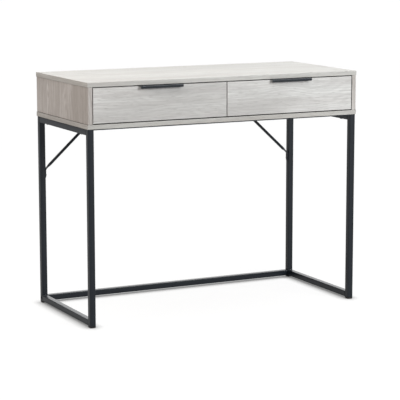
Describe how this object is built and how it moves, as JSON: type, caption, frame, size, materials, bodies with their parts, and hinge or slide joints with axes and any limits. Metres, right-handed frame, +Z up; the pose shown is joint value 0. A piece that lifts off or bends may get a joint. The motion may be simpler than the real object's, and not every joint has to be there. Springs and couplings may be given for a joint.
{
  "type": "writing desk",
  "caption": "Writing desk with a board top, inset drawers with folded pulls on ball runners, and a frame of square steel tube with rear corner braces.",
  "frame": {"origin": "on the floor, at the centre of the footprint that takes in the handles", "axes": "+X along the desk's width, to the right of someone sitting at it; +Y from the drawer fronts to the back; +Z up"},
  "size_m": [1, 0.4614, 0.8],
  "materials": {
    "grey_oak_melamine": "matt melamine with a grey oak print",
    "drawer_box_melamine": "plain light grey melamine",
    "black_powder_coat": "fine-texture black powder coat",
    "zinc_plated_steel": "bright zinc plate",
    "black_plastic": "moulded polyethylene"
  },
  "bodies": {
    "desk": {"top_board": "grey_oak_melamine", "bottom_board": "grey_oak_melamine", "left_side_panel": "grey_oak_melamine", "right_side_panel": "grey_oak_melamine", "centre_divider": "grey_oak_melamine", "back_panel": "grey_oak_melamine", "left_front_leg": "black_powder_coat", "left_rear_leg": "black_powder_coat", "left_top_rail": "black_powder_coat", "left_bottom_rail": "black_powder_coat", "right_front_leg": "black_powder_coat", "right_rear_leg": "black_powder_coat", "right_top_rail": "black_powder_coat", "right_bottom_rail": "black_powder_coat", "rear_cross_rail": "black_powder_coat", "front_tie_strip": "black_powder_coat", "left_brace": "black_powder_coat", "right_brace": "black_powder_coat", "left_front_foot": "black_plastic", "left_rear_foot": "black_plastic", "right_front_foot": "black_plastic", "right_rear_foot": "black_plastic", "left_front_carcass_bolt": "black_powder_coat", "left_rear_carcass_bolt": "black_powder_coat", "right_front_carcass_bolt": "black_powder_coat", "right_rear_carcass_bolt": "black_powder_coat", "left_rear_rail_bolt": "black_powder_coat", "right_rear_rail_bolt": "black_powder_coat", "left_brace_leg_screw": "black_powder_coat", "left_brace_top_screw": "black_powder_coat", "right_brace_leg_screw": "black_powder_coat", "right_brace_top_screw": "black_powder_coat", "left_outer_cabinet_rail": "zinc_plated_steel", "left_inner_cabinet_rail": "zinc_plated_steel", "right_outer_cabinet_rail": "zinc_plated_steel", "right_inner_cabinet_rail": "zinc_plated_steel"},
    "left_drawer": {"left_drawer_front": "grey_oak_melamine", "left_drawer_inner_side": "drawer_box_melamine", "left_drawer_outer_side": "drawer_box_melamine", "left_drawer_back": "drawer_box_melamine", "left_drawer_bottom": "drawer_box_melamine", "left_handle": "black_powder_coat", "left_handle_screw_1": "zinc_plated_steel", "left_handle_screw_2": "zinc_plated_steel", "left_outer_drawer_rail": "zinc_plated_steel", "left_inner_drawer_rail": "zinc_plated_steel"},
    "right_drawer": {"right_drawer_front": "grey_oak_melamine", "right_drawer_inner_side": "drawer_box_melamine", "right_drawer_outer_side": "drawer_box_melamine", "right_drawer_back": "drawer_box_melamine", "right_drawer_bottom": "drawer_box_melamine", "right_handle": "black_powder_coat", "right_handle_screw_1": "zinc_plated_steel", "right_handle_screw_2": "zinc_plated_steel", "right_outer_drawer_rail": "zinc_plated_steel", "right_inner_drawer_rail": "zinc_plated_steel"},
    "left_ball_cages": {"left_outer_ball_cage": "zinc_plated_steel", "left_inner_ball_cage": "zinc_plated_steel"},
    "right_ball_cages": {"right_outer_ball_cage": "zinc_plated_steel", "right_inner_ball_cage": "zinc_plated_steel"}
  },
  "joints": [
    {"name": "left_drawer_slide", "type": "slide", "parent": "desk", "child": "left_drawer", "axis": [0, -1, 0], "range_m": [0, 0.25]},
    {"name": "right_drawer_slide", "type": "slide", "parent": "desk", "child": "right_drawer", "axis": [0, -1, 0], "range_m": [0, 0.25]},
    {"name": "left_cage_slide", "type": "slide", "parent": "desk", "child": "left_ball_cages", "axis": [0, -1, 0], "range_m": [0, 0.125]},
    {"name": "right_cage_slide", "type": "slide", "parent": "desk", "child": "right_ball_cages", "axis": [0, -1, 0], "range_m": [0, 0.125]}
  ],
  "couplings": [
    {"joint": "left_cage_slide", "follows": "left_drawer_slide", "ratio": 0.5},
    {"joint": "right_cage_slide", "follows": "right_drawer_slide", "ratio": 0.5}
  ]
}
